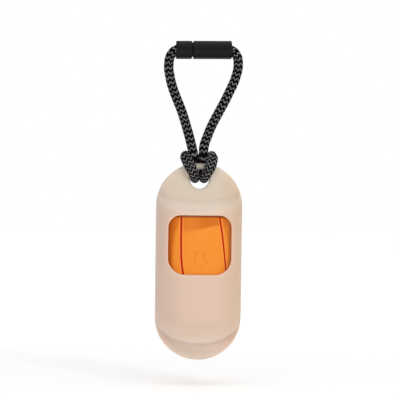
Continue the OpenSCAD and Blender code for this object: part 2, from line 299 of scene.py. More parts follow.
def buildCordCore(c):
    fine, at = curveThrough(cordRoute, c["perSegment"])
    fine *= mm
    points, places, rows, length = rowSamples(fine, at, c["pitch"])
    along, sideA, sideB = carriedFrames(points)
    knots, wide, thick = mirrored(cordPressed)
    smoothing = np.hanning(c["blur"]) / np.hanning(c["blur"]).sum()
    wide, thick = (np.convolve(np.pad(np.interp(places, knots, share), c["blur"] // 2, mode="edge"),
                               smoothing, mode="valid") for share in (wide, thick))
    radius = c["diameter"] / 2 * c["coreShare"]
    columns, vertices = c["columns"], []
    for i in range(rows + 1):
        # pressed flat against the tab's faces: thin along the tab's normal, wide across it
        normal = np.array([0.0, -1.0, 0.0]) - along[i] * -along[i][1]
        if np.linalg.norm(normal) < c["sideways"]:
            normal = sideA[i]
        normal = normal / np.linalg.norm(normal)
        width = np.cross(along[i], normal)
        for k in range(columns):
            a = 2 * math.pi * k / columns
            off = radius * (math.cos(a) * sideA[i] + math.sin(a) * sideB[i])
            off = off + (wide[i] - 1) * off.dot(width) * width + (thick[i] - 1) * off.dot(normal) * normal
            vertices.append(points[i] + off)
    return np.array(vertices), ringFaces(rows + 1, columns), rows, points, length


def cordMaterial():
    material, tree, shader, where = newMaterial(
        "braidYarn", {"Roughness": 0.95, "Specular IOR Level": 0.0})
    across = axesOf(tree, nodeOut(tree, "ShaderNodeUVMap", uv_map="stitchUv"))[1]
    fibre = mathNode(tree, "SINE", mathNode(tree, "MULTIPLY", across, 44.0))
    dusty = noiseNode(tree, where, 900.0, 4.0)
    black = mixColour(tree, dusty, linear(0, 0, 0), linear(7, 6, 7))
    grey = mixColour(tree, dusty, linear(102, 99, 102), linear(182, 178, 181))
    tone = mixColour(tree, markNode(tree, "yarnShade"), black, grey)
    colourBy(tree, shader, tone)
    hairy = mathNode(tree, "ADD", mathNode(tree, "MULTIPLY", fibre, 0.5), dusty)
    bumpOnto(tree, shader, hairy, 0.00004, 0.6)
    return material


def stitchTree(material):
    # a dome of yarn on every face of the core, slanted left and right by column
    tree = bpy.data.node_groups.new("stitches", "GeometryNodeTree")
    face = tree.interface
    face.new_socket("Core", in_out="INPUT", socket_type="NodeSocketGeometry")
    for name in ("Length", "Width", "Rise", "Slant", "Uneven"):
        face.new_socket(name, in_out="INPUT", socket_type="NodeSocketFloat")
    face.new_socket("Seed", in_out="INPUT", socket_type="NodeSocketInt")
    face.new_socket("Braid", in_out="OUTPUT", socket_type="NodeSocketGeometry")
    start = putNode(tree, "NodeGroupInput").outputs

    add, calc = partial(nodeOut, tree), partial(mathNode, tree)

    def field(name, kind="FLOAT_VECTOR"):
        return add("GeometryNodeInputNamedAttribute", {"Name": name}, data_type=kind)

    def fall(value, power):
        paintedFilmShade = calc("MULTIPLY", calc("ABSOLUTE", value), 2.0)
        return calc("SUBTRACT", 1.0, calc("POWER", paintedFilmShade, power))

    # one stitch: a small grid bent into a dome, its rim sunk in the core
    grid = putNode(tree, "GeometryNodeMeshGrid",
                   {"Size X": 1.0, "Size Y": 1.0, "Vertices X": 6, "Vertices Y": 4}).outputs
    spot = axesOf(tree, add("GeometryNodeInputPosition"))
    crown = calc("POWER", calc("MULTIPLY", fall(spot[0], 4.0), fall(spot[1], 2.2)), 0.6)
    waist = calc("ADD", 0.55, calc("MULTIPLY", fall(spot[0], 2.4), 0.45))
    bent = add("ShaderNodeCombineXYZ", {0: spot[0], 1: calc("MULTIPLY", spot[1], waist),
                                        2: calc("SUBTRACT", crown, 0.35)})
    dome = add("GeometryNodeSetPosition", {"Geometry": grid[0], "Position": bent})
    marked = add("GeometryNodeStoreNamedAttribute",
                 {"Geometry": dome, "Name": "stitchUv", "Value": grid[1]},
                 data_type="FLOAT2", domain="CORNER")
    stitch = add("GeometryNodeSetShadeSmooth", {0: marked, 2: True})

    # one point on each face, turned to the face and along the cord
    points = add("GeometryNodeMeshToPoints", {"Mesh": start["Core"]}, mode="FACES")
    turned = add("FunctionNodeAxesToRotation", {0: field("outward"), 1: field("along")},
                 primary_axis="Z", secondary_axis="X")
    jitter = putNode(tree, "FunctionNodeRandomValue",
                     {2: calc("MULTIPLY", start["Uneven"], -1.0), 3: start["Uneven"],
                      "Seed": start["Seed"]}, data_type="FLOAT").outputs[1]
    angle = calc("MULTIPLY", calc("ADD", start["Slant"], jitter), field("lean", "FLOAT"))
    spin = add("FunctionNodeEulerToRotation", {0: add("ShaderNodeCombineXYZ", {2: angle})})
    slanted = add("FunctionNodeRotateRotation", {0: turned, 1: spin}, rotation_space="LOCAL")
    size = axesOf(tree, field("cell"))
    scale = add("ShaderNodeCombineXYZ", {i: calc("MULTIPLY", size[min(i, 1)], start[name])
                                         for i, name in enumerate(("Length", "Width", "Rise"))})
    placed = add("GeometryNodeInstanceOnPoints",
                 {"Points": points, "Instance": stitch, "Rotation": slanted, "Scale": scale})
    shaded = add("GeometryNodeStoreNamedAttribute",
                 {"Geometry": placed, "Name": "yarnShade", "Value": field("shade", "FLOAT")},
                 data_type="FLOAT", domain="INSTANCE")
    joined = putNode(tree, "GeometryNodeJoinGeometry")
    for part in (start["Core"], shaded):
        tree.links.new(part, joined.inputs[0])
    real = add("GeometryNodeRealizeInstances", {0: joined.outputs[0]})
    dressed = add("GeometryNodeSetMaterial", {"Geometry": real, "Material": material})
    putNode(tree, "NodeGroupOutput", {0: dressed})
    return tree


def runTree(piece, tree, values):
    # the modifier's result becomes the piece's plain mesh
    modifier = piece.modifiers.new(tree.name, "NODES")
    modifier.node_group = tree
    for item in tree.interface.items_tree:
        if item.in_out == "INPUT" and item.name in values:
            modifier[item.identifier] = values[item.name]
    made = solvedMesh(piece)
    piece.modifiers.remove(modifier)
    piece.data = made


def buildCord(c):
    vertices, faces, rows, points, length = buildCordCore(c)
    material = cordMaterial()
    cord = newPiece("braidedCord", vertices, faces, material)
    corner = vertices[np.array(faces)]
    columns = c["columns"]
    along = corner[:, 3] + corner[:, 2] - corner[:, 0] - corner[:, 1]
    across = corner[:, 1] + corner[:, 2] - corner[:, 0] - corner[:, 3]
    pitch, width = np.linalg.norm(along, axis=1) / 2, np.linalg.norm(across, axis=1) / 2
    outward = np.cross(across, along)
    middle = points[:-1].repeat(columns, axis=0)
    outward *= np.sign(np.einsum("ij,ij->i", outward, corner.mean(axis=1) - middle))[:, None]
    column = np.tile(np.arange(columns), rows)
    row = np.arange(rows).repeat(columns)
    random = np.random.default_rng(c["shadeSeed"])
    isGrey = row % c["greyEvery"] == 0
    grey = isGrey * random.uniform(*c["greyShades"], rows * columns)
    ghost = ~isGrey * random.uniform(*c["blackShades"], rows * columns)
    storeMarks(cord.data, {"along": along, "outward": outward,
                           "cell": np.stack([width, pitch, pitch], axis=1),
                           "lean": np.where(column % 2 == 0, 1.0, -1.0), "shade": grey + ghost}, "FACE")
    runTree(cord, stitchTree(material),
            {"Length": c["stitchLength"], "Width": c["stitchWidth"], "Rise": c["stitchRise"],
             "Slant": math.radians(90 - c["slant"]), "Uneven": c["uneven"],
             "Seed": c["stitchSeed"]})
    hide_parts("cord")
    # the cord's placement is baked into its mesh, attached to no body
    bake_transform(cord)
    print(f"cord: {length / mm:.1f} mm, {len(cord.data.polygons)} faces")


buildCord(cordSettings)

# silicone carrier

carrierSettings = {
    "width": 0.0425, "height": 0.0972, "top": -0.0515,
    "tabThick": 0.004, "podDepth": 0.038,
    "podDrop": 0.0188, "shoulderRise": 0.005, "shoulderHeight": 0.0068,
    "toeMargin": 0.0076, "toeHeight": 0.0086, "edge": 0.002,
    "shoulderFoot": 0.8, "toeFoot": 0.24,  # how far up the swell its foot is faired
    "holeRadius": 0.00475, "holeDrop": 0.008, "holeLip": 0.001, "holeSteps": 56,
    "windowWidth": 0.031, "windowHeight": 0.0289, "windowDrop": 0.0259,
    "windowTopRadius": 0.006, "windowLowRadius": 0.008, "windowLip": 0.0009,
    "bayRadius": 0.017, "bayTop": -0.0771, "bayLow": -0.1354, "bayCorner": 0.0012,
    "spacing": 0.0009, "rowShare": 0.8, "scatter": 0.08, "baySpacing": 0.0016, "weld": 0.000004,
    "boreSteps": (0, 0.33, 0.67, 1), "wallSteps": (0, 0.2, 0.45, 0.7, 1),
    "softRounds": 44, "softPull": 0.9, "softEdge": 0.0014, "softLip": 0.0018,  # where shading is softened
    # bands of painted highlight and shade, and of softened shading: half width, and shares of the swell
    # where they begin and end; strength and fade
    "markReach": 0.018, "shoulderBand": (-0.5, 0.7), "softBand": (-1.0, 2.2),
    "toeLine": -0.1, "toeAbove": (0.6, 0.6), "toeBelow": (0.85, 0.4), "toeEnd": (1.7, 0.7),
    # how the mesh is laid: degrees in from the rim, shares of a lip and of the shoulder's height
    "edgeTurns": (3, 6, 9, 12, 15, 18, 21, 24, 28, 32, 36, 40),
    "lipSteps": (0.08, 0.2, 0.36, 0.56, 0.78, 1.0, 1.35),
    "shoulderSteps": (0.04, 0.1, 0.16, 0.22, 0.3, 0.38, 0.46, 0.56, 0.68, 0.84),
    "bayGrid": (91, 40), "bayClear": (0.0008, 0.0006), "bayEndRings": (0.012, 0.006), "seed": 2,
}


def swell(u):
    return np.sqrt(np.clip(1 - (1 - np.clip(u, 0, 1)) ** 2, 0, 1))


def ease(u):
    u = np.clip(u, 0, 1)
    return u * u * (3 - 2 * u)


def lipDrop(gap, lip):
    return lip * (1 - swell(gap / lip))


class CarrierForm:
    # the carrier's outer form: depth at any place of its outline, and the distances to its edges
    def __init__(self, c):
        self.c = c
        self.radius = c["width"] / 2
        self.upper = c["top"] - self.radius
        self.lower = c["top"] - c["height"] + self.radius
        self.holeZ = c["top"] - c["holeDrop"]
        self.windowTop = c["top"] - c["windowDrop"]
        self.windowLow = self.windowTop - c["windowHeight"]

    def inset(self, x, z):
        beyond = np.where(z > self.upper, z - self.upper, np.where(z < self.lower, self.lower - z, 0.0))
        return self.radius - np.hypot(x, beyond)

    def holeGap(self, x, z):
        return np.hypot(x, z - self.holeZ) - self.c["holeRadius"]

    def windowGap(self, x, z):
        c, middle = self.c, (self.windowTop + self.windowLow) / 2
        corner = np.where(z > middle, c["windowTopRadius"], c["windowLowRadius"])
        over = np.abs(x) - c["windowWidth"] / 2 + corner
        above = np.abs(z - middle) - c["windowHeight"] / 2 + corner
        outside = np.hypot(np.maximum(over, 0), np.maximum(above, 0))
        return outside + np.minimum(np.maximum(over, above), 0) - corner

    def across(self, x, z):
        above = np.maximum(z - self.upper, 0)
        return np.sqrt(np.clip(1 - (x ** 2 + above ** 2) / self.radius ** 2, 0, None))

    def shoulderFoot(self, x):
        c = self.c
        return c["top"] - c["podDrop"] + c["shoulderRise"] * (x / (c["podDepth"] / 2)) ** 4

    def shoulderShare(self, x, z):
        return (self.shoulderFoot(x) - z) / self.c["shoulderHeight"]

    def toeShare(self, x, z):
        c = self.c
        return (z - self.lower + (self.radius - c["toeMargin"]) * self.across(x, z)) / c["toeHeight"]

    def halfDepth(self, x, z):
        c = self.c
        across = self.across(x, z)
        shoulder, toe = self.shoulderShare(x, z), self.toeShare(x, z)
        rise = swell(shoulder) * ease(shoulder / c["shoulderFoot"]) * swell(toe) * ease(toe / c["toeFoot"])
        tab = c["tabThick"] / 2
        return tab * swell(self.inset(x, z) / c["edge"]) + (c["podDepth"] / 2 - tab) * across * rise

    def front(self, x, z):
        c = self.c
        return -(self.halfDepth(x, z) - lipDrop(self.windowGap(x, z), c["windowLip"])
                 - lipDrop(self.holeGap(x, z), c["holeLip"]))

    def back(self, x, z):
        return self.halfDepth(x, z) - lipDrop(self.holeGap(x, z), self.c["holeLip"])

    def outline(self, inset, step):
        r = self.radius - inset
        arc = int(math.pi * self.radius / step)
        side = int((self.upper - self.lower) / step)
        turns = np.linspace(0, math.pi, arc, endpoint=False)
        drops = np.linspace(0, 1, side, endpoint=False)
        span = self.upper - self.lower
        x = np.concatenate([r * np.cos(turns), np.full(side, -r), -r * np.cos(turns), np.full(side, r)])
        z = np.concatenate([self.upper + r * np.sin(turns), self.upper - span * drops,
                            self.lower - r * np.sin(turns), self.lower + span * drops])
        return np.stack([x, z], axis=1)

    def windowOutline(self, gap, step):
        c = self.c
        half = c["windowWidth"] / 2
        tops, lows = c["windowTopRadius"], c["windowLowRadius"]
        upper, lower = self.windowTop - tops, self.windowLow + lows
        corners = [(half - tops, upper, tops, 0), (tops - half, upper, tops, 90),
                   (lows - half, lower, lows, 180), (half - lows, lower, lows, 270)]

        def spot(corner, turn):
            x, z, r, _ = corner
            return np.array((x + (r + gap) * math.cos(turn), z + (r + gap) * math.sin(turn)))
        ring = []
        for corner, after in zip(corners, corners[1:] + corners[:1]):
            x, z, r, start = corner
            count = int(math.pi / 2 * r / step) + 2
            ring += [spot(corner, a) for a in np.radians(np.linspace(start, start + 90, count))]
            last, first = ring[-1], spot(after, math.radians(after[3]))
            between = int(math.hypot(after[0] - x, after[1] - z) / step)
            ring += [last + (first - last) * k / between for k in range(1, between)]
        return np.array(ring)

    def holeOutline(self, gap):
        a = np.linspace(0, 2 * math.pi, self.c["holeSteps"], endpoint=False)
        r = self.c["holeRadius"] + gap
        return np.stack([r * np.cos(a), self.holeZ + r * np.sin(a)], axis=1)


def fillFace(rings, loose, inside):
    # triangles between closed rings with loose points in between; inside says which triangles stay
    points, edges = [], []
    for ring in rings:
        first = len(points)
        points += list(ring)
        edges += [(first + i, first + (i + 1) % len(ring)) for i in range(len(ring))]
    scaled = [Vector((p[0] * 100, p[1] * 100)) for p in points + list(loose)]
    made = delaunay_2d_cdt(scaled, edges, [], 1, 1e-7)
    flat = np.array([(p[0] / 100, p[1] / 100) for p in made[0]])
    faces = np.array([list(f) for f in made[2]])
    middle = flat[faces].mean(axis=1)
    return flat, faces[inside(middle)]


def staggered(across, up, shift):
    # places on a grid, every second row moved sideways
    return [(x, z) for i, z in enumerate(up) for x in across + (shift if i % 2 else 0)]


def buildCarrierMesh(c):
    form = CarrierForm(c)
    step = c["spacing"]
    insets = [form.radius * (1 - math.cos(t)) for t in np.radians(c["edgeTurns"])]
    lips = (0,) + c["lipSteps"]
    random = np.random.default_rng(c["seed"])

    def clearOfLips(spots, front, room):
        x, z = spots.T
        keep = form.holeGap(x, z) > c["holeLip"] * lips[-1] + step * room
        if front:
            keep &= form.windowGap(x, z) > c["windowLip"] * lips[-1] + step * room
        return keep

    def loosePoints(front):
        across = np.arange(-form.radius, form.radius, step)
        spots = staggered(across, np.arange(c["top"] - c["height"], c["top"], step * c["rowShare"]),
                          step / 2)
        # rows of points that follow the shoulder, where the form turns fast
        spots += [(x + step * 0.3 * (u * 7 % 1), form.shoulderFoot(x) - u * c["shoulderHeight"])
                  for x in across for u in c["shoulderSteps"]]
        spots = np.array(spots) + random.uniform(-1, 1, (len(spots), 2)) * step * c["scatter"]
        return spots[(form.inset(*spots.T) > insets[-1] + step * 0.5) & clearOfLips(spots, front, 0.5)]

    def ringPoints(front):
        spots = np.concatenate([form.outline(d, step) for d in insets])
        return spots[clearOfLips(spots, front, 0.4)]

    vertices, faces = [], []

    def addPatch(points, triangles):
        first = len(vertices)
        vertices.extend([tuple(p) for p in points])
        faces.extend([tuple(int(i) + first for i in t) for t in triangles])

    outer = form.outline(0, step)
    holeRings = [form.holeOutline(k * c["holeLip"]) for k in lips]
    windowRings = [form.windowOutline(k * c["windowLip"], step) for k in lips]
    for front in (True, False):
        rings = [outer] + holeRings + (windowRings if front else [])

        def inside(p):
            keep = form.holeGap(*p.T) > 0
            return keep & (form.windowGap(*p.T) > 0) if front else keep
        flat, triangles = fillFace(rings, np.concatenate([ringPoints(front), loosePoints(front)]), inside)
        x, z = flat.T
        depth = form.front(x, z) if front else form.back(x, z)
        addPatch(np.stack([x, np.where(form.inset(x, z) < 1e-6, 0.0, depth), z], axis=1), triangles)

    def addWall(ring, front, back, shares):
        # strips between copies of a closed ring, from the front surface to the back one
        rows = [np.stack([ring[:, 0], front + (back - front) * t, ring[:, 1]], axis=1) for t in shares]
        addPatch(np.concatenate(rows), ringFaces(len(rows), len(ring)))

    # the bore of the cord hole
    ring = holeRings[0]
    addWall(ring, form.front(*ring.T), form.back(*ring.T), c["boreSteps"])
    # the window's wall, down to the bay
    ring = windowRings[0]
    bay = -np.sqrt(c["bayRadius"] ** 2 - ring[:, 0] ** 2)
    addWall(ring, form.front(*ring.T), bay, c["wallSteps"])

    # the bay, unrolled to arc length and height, with the window cut out of its front
    r, corner = c["bayRadius"], c["bayCorner"]
    low, high = c["bayLow"] + corner, c["bayTop"] - corner
    opened = np.stack([r * np.arcsin(ring[:, 0] / r), ring[:, 1]], axis=1)
    high = max(high, opened[:, 1].max() + 0.1 * mm)
    half = math.pi * r
    columns, rows = c["bayGrid"]
    across, up = np.linspace(-half, half, columns), np.linspace(low, high, rows)
    border = np.array([(a, low) for a in across] + [(half, z) for z in up[1:-1]]
                      + [(a, high) for a in across[::-1]] + [(-half, z) for z in up[1:-1][::-1]])
    grid = c["baySpacing"]
    spots = np.array(staggered(np.arange(-half, half, grid)[1:-1], np.arange(low, high, grid)[1:-1],
                               grid / 2))
    gap = form.windowGap(r * np.sin(np.clip(spots[:, 0] / r, -1.5, 1.5)), spots[:, 1])
    (rim, room), away = c["bayClear"], np.abs(spots[:, 0])
    keep = ((gap > rim) | (away > r * 1.3)) & (away < half - room)
    keep &= (spots[:, 1] > low + room) & (spots[:, 1] < high - room)

    def outsideWindow(p):
        ahead = np.abs(p[:, 0]) < r * 1.35
        return ~(ahead & (form.windowGap(r * np.sin(p[:, 0] / r), p[:, 1]) < 0))
    flat, triangles = fillFace([border, opened], spots[keep], outsideWindow)
    turn = flat[:, 0] / r
    addPatch(np.stack([r * np.sin(turn), -r * np.cos(turn), flat[:, 1]], axis=1), triangles)
    # its two ends, with rounded corners
    for level, way in ((low, -1), (high, 1)):
        rows = [(r - corner + corner * math.cos(a), level + way * corner * math.sin(a))
                for a in np.radians((0, 30, 60, 90))]
        rows += [(rr, rows[-1][1]) for rr in c["bayEndRings"]]
        angles = across[:-1] / r
        ringCount = len(angles)
        points = [(rr * math.sin(a), -rr * math.cos(a), z) for rr, z in rows for a in angles]
        points.append((0, 0, rows[-1][1]))
        quads = ringFaces(len(rows), ringCount)
        last = (len(rows) - 1) * ringCount
        quads += [(last + k, last + (k + 1) % ringCount, len(points) - 1) for k in range(ringCount)]
        addPatch(points, quads)
    return vertices, faces


def siliconeMaterial():
    material, tree, shader, where = newMaterial("milkySilicone", {
        "Roughness": 0.55, "Subsurface Weight": 0.8, "Subsurface Scale": 0.003,
        "Subsurface Radius": (1.0, 0.75, 0.6), "Coat Weight": 0.08, "Coat Roughness": 0.35,
        "Specular IOR Level": 0.42})
    x, _, z = axesOf(tree, where)
    roll = rampNode(tree, z, -0.065, -0.082)  # painted glow: the orange roll's light showing through the wall warms it
    tone = mixColour(tree, roll, linear(232, 221, 204), linear(228, 202, 183))
    # lighter and less warm at the bottom, where no roll glows through: painted light on the toe's
    # underside
    tone = mixColour(tree, rampNode(tree, z, -0.136, -0.143), tone, linear(232, 212, 197))
    # painted shade: darker and warmer towards each side, where the body turns away from the light
    tone = tint(tree, tone, rampNode(tree, x, 0.006, 0.021), 0.7, linear(220, 188, 158))
    tone = tint(tree, tone, rampNode(tree, x, -0.006, -0.021), 0.5, linear(214, 186, 172))
    # painted highlight on the shoulder's upward slope
    tone = tint(tree, tone, markNode(tree, "shoulderPaintedLight"), 0.55, linear(252, 234, 214))
    # painted shade where the toe turns under
    tone = tint(tree, tone, markNode(tree, "toePaintedShade"), 0.35, linear(198, 186, 170))
    tone = tint(tree, tone, noiseNode(tree, where, 60.0), 0.12, linear(206, 184, 166))
    colourBy(tree, shader, tone)
    grain = noiseNode(tree, where, 5200.0, 2.0)
    mottled = noiseNode(tree, where, 420.0)
    roughenBy(tree, shader, mottled, 0.44, 0.6)
    bumpOnto(tree, shader, mathNode(tree, "ADD", grain, mottled), 0.00002, 0.5)
    return material


def softenNormals(mesh, mask, rounds, pull):
    # the swell's ridge and foot shade softly, as they do in cloudy silicone
    soft = readAll(mesh.vertices, "normal", 3)
    pairs = readAll(mesh.edges, "vertices", 2, np.int32)
    first, second = pairs.T
    count = np.bincount(pairs.ravel(), minlength=len(soft))[:, None]
    for _ in range(rounds):
        total = np.zeros_like(soft)
        np.add.at(total, first, soft[second])
        np.add.at(total, second, soft[first])
        soft = soft + mask[:, None] * (total / count - soft) * pull
    soft /= np.linalg.norm(soft, axis=1)[:, None]
    mesh.normals_split_custom_set_from_vertices(soft)


def buildCarrier(c):
    vertices, faces = buildCarrierMesh(c)
    piece = newPiece("siliconeCarrier", vertices, faces, siliconeMaterial())
    openEdges = faceOutward(piece.data, c["weld"])
    piece.data.shade_smooth()
    form, (x, _, z) = CarrierForm(c), readAll(piece.data.vertices, "co", 3).T
    # marks: a painted highlight on the shoulder, and painted shade on the toe's ridge and rim, fading
    # towards the sides
    middle = np.clip(1 - (x / c["markReach"]) ** 2, 0, 1)
    shoulder, toe = form.shoulderShare(x, z), form.toeShare(x, z)
    start, end = c["shoulderBand"]
    lit = np.sin(math.pi * np.clip((shoulder - start) / (end - start), 0, 1))
    line, (above, rise), (below, fall) = c["toeLine"], c["toeAbove"], c["toeBelow"]
    end, fade = c["toeEnd"]
    under = np.where(toe > line, above * ease((toe - line) / rise), below * ease((line - toe) / fall))
    storeMarks(piece.data, {"shoulderPaintedLight": middle * lit,
                            "toePaintedShade": middle * (under * ease((end - toe) / fade))})
    start, end = c["softBand"]
    share = np.maximum(*[ease(u - start) * ease(end - u) for u in (shoulder, toe)])
    lips = np.minimum(form.windowGap(x, z), form.holeGap(x, z)) / c["softLip"]
    clear = np.minimum(form.inset(x, z) / c["softEdge"], lips)
    softenNormals(piece.data, share * ease(clear), c["softRounds"], c["softPull"])
    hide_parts("carrier_shell")
    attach(piece, "carrier")
    print(f"carrier: {len(piece.data.polygons)} faces, {openEdges} open edges")


buildCarrier(carrierSettings)

# loose outer bag

bagSettings = {
    "radius": 0.0167, "low": -0.1342, "high": -0.0783,
    "foldWidth": 4.0,  # degrees
    "foldSink": 0.00004, "rimRise": 0.00006, "layerRise": 0.0001, "puff": 0.00006,
    # lines down the film: height, degrees from the front
    "leftFold": ((-0.0783, -33.4), (-0.0876, -33.9), (-0.0977, -33.1), (-0.1024, -31.2), (-0.1059, -29.2),
                 (-0.1342, -24.0)),
    "rightFold": ((-0.0783, 34.6), (-0.0814, 37.0), (-0.088, 41.8), (-0.1065, 52.5), (-0.1342, 60.0)),
    "leftTurn": ((-0.0783, -38.0), (-0.0817, -39.8), (-0.0871, -47.8), (-0.0945, -53.0), (-0.1342, -55.0)),
    "rightTurn": ((-0.0783, 40.0), (-0.0837, 46.0), (-0.0921, 58.0), (-0.1005, 61.5), (-0.1342, 66.0)),
    # lower edge of the raised second layer, painted darker as a shadow under the window's top edge, across
    # the panel: degrees, height
    "layerEdge": ((-34, -0.0856), (-8, -0.0846), (3, -0.0838), (18.7, -0.0827), (28, -0.0821),
                  (36, -0.0823)),
    # fine creases: degrees and height of both ends, and depth
    "creases": ((5.5, -0.095, 7.0, -0.0982, 1.0), (7.0, -0.0982, 12.0, -0.1012, 0.8),
                (-8.0, -0.0952, -2.0, -0.0949, 0.7), (-8.0, -0.0952, -8.5, -0.1012, 0.8),
                (2.5, -0.1015, 4.0, -0.1055, 0.5)),
    "creaseWidth": 0.00035, "creaseSink": 0.00009,
    "rows": 140, "columns": (44, 18, 110, 18, 44),  # the second and fourth run along the folds
    "film": 0.00035,
    "leftBlur": 9.0, "rightBlur": 4.5,  # degrees over which the painted shade on the film's turns fades in
    "layerSoft": (0.0004, 0.0036), "layerFaint": 0.65,
    # slow waves in the film: degrees, heights to a metre, offset and share
    "waves": ((16, 140, 0.3, 0.7), (6, 380, 1.3, 0.3)),
}


def lineAt(line, height):
    return np.interp(-height, [-p[0] for p in line], [p[1] for p in line])


def buildBag(c):
    # turns and heights as one grid, finer at the folds, with the marks each place carries
    heights = np.linspace(c["low"], c["high"], c["rows"])
    left, right = lineAt(c["leftFold"], heights), lineAt(c["rightFold"], heights)
    w = c["foldWidth"] / 2
    borders = [np.full_like(left, -180), left - 2 * w, left + 2 * w, right - 2 * w, right + 2 * w,
               np.full_like(left, 180)]
    turns = np.concatenate([a[:, None] + (b - a)[:, None] * np.arange(n) / n
                            for a, b, n in zip(borders, borders[1:], c["columns"])], axis=1)
    z = np.repeat(heights[:, None], turns.shape[1], axis=1)
    left, right = left[:, None], right[:, None]
    near = np.minimum(np.abs(turns - left), np.abs(turns - right))
    fold = 1 - ease((near / w - 0.75) / 0.4)
    # raised edges beside each fold, also painted lighter as a highlight
    rim = np.clip(1 - np.abs(near / w - 1.5) / 0.6, 0, 1)
    panel = ease((turns - left) / w / 2 + 0.5) * ease((right - turns) / w / 2 + 0.5)
    edge = np.interp(turns, *zip(*c["layerEdge"]))
    crisp, spread = c["layerSoft"]
    soft = crisp + spread * ease((14 - turns) / 40)
    faint = c["layerFaint"]
    # a slightly raised second layer, whose colour mark is a painted shadow under the window's top edge
    layerAndShadow = ease((z - edge) / soft + 0.5) * panel * (faint + (1 - faint) * ease((turns + 14) / 22))
    # painted shade where the film turns away at each side
    sideShade = ease((lineAt(c["leftTurn"], z) - turns) / c["leftBlur"] + 0.5)
    sideShade = sideShade + ease((turns - lineAt(c["rightTurn"], z)) / c["rightBlur"] + 0.5)
    crease = np.zeros_like(z)
    x = np.radians(turns) * c["radius"]
    for a0, z0, a1, z1, depth in c["creases"]:
        x0, x1 = math.radians(a0) * c["radius"], math.radians(a1) * c["radius"]
        run = np.array((x1 - x0, z1 - z0))
        t = np.clip(((x - x0) * run[0] + (z - z0) * run[1]) / run.dot(run), 0, 1)
        gap = np.hypot(x - x0 - t * run[0], z - z0 - t * run[1])
        crease = np.maximum(crease, depth * np.exp(-(gap / c["creaseWidth"]) ** 2))
    wave = np.array([[sum(noise.noise(Vector((a / wide, h * often, shift))) * share
                          for wide, often, shift, share in c["waves"])
                      for a, h in zip(*row)] for row in zip(turns, z)])
    r = c["radius"] + c["puff"] * wave - c["foldSink"] * fold
    r = r + c["rimRise"] * rim + c["layerRise"] * layerAndShadow - c["creaseSink"] * crease
    t = np.radians(turns)
    vertices = np.stack([r * np.sin(t), -r * np.cos(t), z], axis=2).reshape(-1, 3)
    marks = {"fold": fold, "rim": rim, "paintedFilmShade": np.maximum(layerAndShadow, sideShade), "crease": crease}
    return vertices, ringFaces(*z.shape), marks


def filmMaterial():
    material, tree, shader, where = newMaterial("orangeFilm", {
        "Roughness": 0.55, "Specular IOR Level": 0.12, "Diffuse Roughness": 1.0,
        "Emission Strength": 0.13})  # painted glow: emission that stands in for light coming through the silicone
    cloudy = noiseNode(tree, where, 90.0, 4.0)
    tone = mixColour(tree, cloudy, linear(243, 156, 60), linear(238, 148, 48))
    # painted shadow under the window's top edge and painted shade on the film's turned sides
    tone = mixColour(tree, markNode(tree, "paintedFilmShade"), tone, linear(220, 122, 36))
    # painted light on the right-hand side, against the shade of the window's wall
    right = rampNode(tree, axesOf(tree, where)[0], 0.0115, 0.0145)
    tone = tint(tree, tone, right, 0.6, linear(255, 176, 80))
    # painted highlight along the raised edges beside each fold
    tone = tint(tree, tone, markNode(tree, "rim"), 0.8, linear(255, 158, 84))
    # painted shade in the creases
    tone = tint(tree, tone, markNode(tree, "crease"), 0.35, linear(206, 100, 20))
    tone = mixColour(tree, markNode(tree, "fold"), tone, linear(185, 22, 0))
    colourBy(tree, shader, tone)
    # the painted glow takes the film's colour
    tree.links.new(tone, shader.inputs["Emission Color"])
    stretched = nodeOut(tree, "ShaderNodeMapping", {0: where, 3: (900.0, 900.0, 90.0)})
    bumpOnto(tree, shader, noiseNode(tree, stretched, 1.0), 0.00002, 0.5)
    return material


def buildLooseBag(c):
    vertices, faces, marks = buildBag(c)
    piece = newPiece("looseBag", vertices, faces, filmMaterial())
    storeMarks(piece.data, marks)
    solid = piece.modifiers.new("film", "SOLIDIFY")
    solid.thickness, solid.offset = c["film"], -1
    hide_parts("lead_bag")
    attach(piece, "roll")


buildLooseBag(bagSettings)
print("bag made")

# clasp halves

claspSettings = {
    "axis": 0.0044, "barrel": 0.00452, "edge": 0.0003,
    "left": -0.01215, "parting": -0.0044, "socketLeft": -0.0037, "right": 0.01515,
    "tongue": 0.00358, "tongueFit": 0.00007, "tongueLength": 0.006,
    "noseEdge": 0.00025, "noseRoom": 0.0006, "endFace": 0.0039,  # a ring on the meeting faces
    "beadSet": 0.0014, "beadWidth": 0.0006, "beadHeight": 0.00005, "beadRoom": 0.0002,
    "beadCrest": (0.4, 0.6), "turnStep": 5.0,
    "slotWidth": 0.0008, "slotRoot": 0.0015,
    "collar": 0.0022, "collarHole": 0.0024, "bell": 0.0014, "pocket": 0.00275,
    "gateRadius": 0.0008, "gateSink": 0.00025, "gateRun": 0.00665,
    "gateTurn": 15.0,  # degrees below the front
    "seamTurn": 40.0, "seamWidth": 0.9, "seamSink": 0.00004,
    # how the barrels' outsides sit on the bores, from this radius outwards
    "boreReach": 0.0038, "level": 0.0131, "drop": 0.0001, "shift": -0.0002,
}


def roundCorner(c, x, start):
    turns, edge = np.radians(start + np.linspace(0, 90, 5)), c["edge"]
    return [(x + edge * math.sin(a), c["barrel"] - edge + edge * math.cos(a)) for a in turns]


def bellMouth(c, mouth, way):
    # section of a collar's hole, from the barrel's end face inwards
    turns = np.radians(np.linspace(90, 0, 8))
    bell, hole, depth = c["bell"], c["collarHole"], mouth - way * c["collar"]
    flare = [(mouth - way * bell * (1 - math.sin(a)), hole + bell * (1 - math.cos(a))) for a in turns]
    return flare + [(depth, hole), (depth, c["pocket"])]


